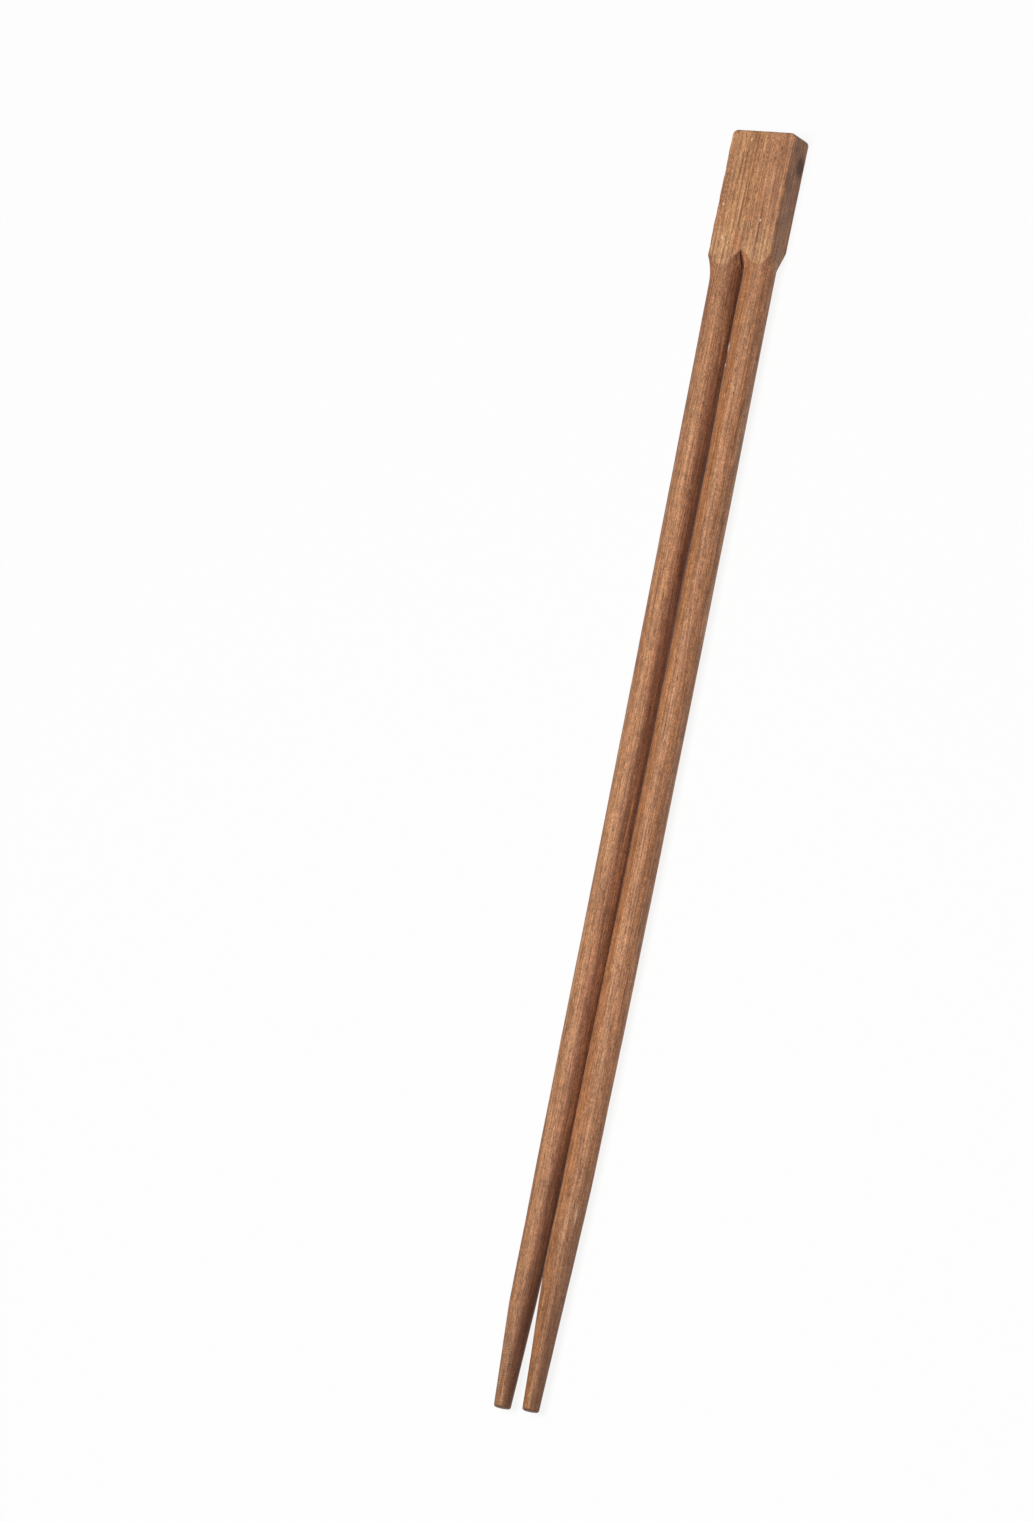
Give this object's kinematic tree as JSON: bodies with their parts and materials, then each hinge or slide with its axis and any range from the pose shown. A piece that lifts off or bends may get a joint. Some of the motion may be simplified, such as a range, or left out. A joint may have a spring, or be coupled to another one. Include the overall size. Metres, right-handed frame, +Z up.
{
  "type": "bamboo chopsticks",
  "caption": "Joined bamboo chopsticks milled from a single strip: round tapered sticks that meet in a flat head, to be snapped apart before a meal.",
  "frame": {"origin": "centre of the bounding box, on the surface the chopsticks lie on", "axes": "+X across the pair, +Y along it from the tips to the butt of the head, +Z up from the surface they lie on"},
  "size_m": [0.0126, 0.23, 0.0056],
  "materials": {
    "carbonised_bamboo": "fine lengthwise fibres, milled and left bare, satin to matte"
  },
  "bodies": {
    "root": {"joined_chopsticks": "carbonised_bamboo"}
  },
  "joints": []
}
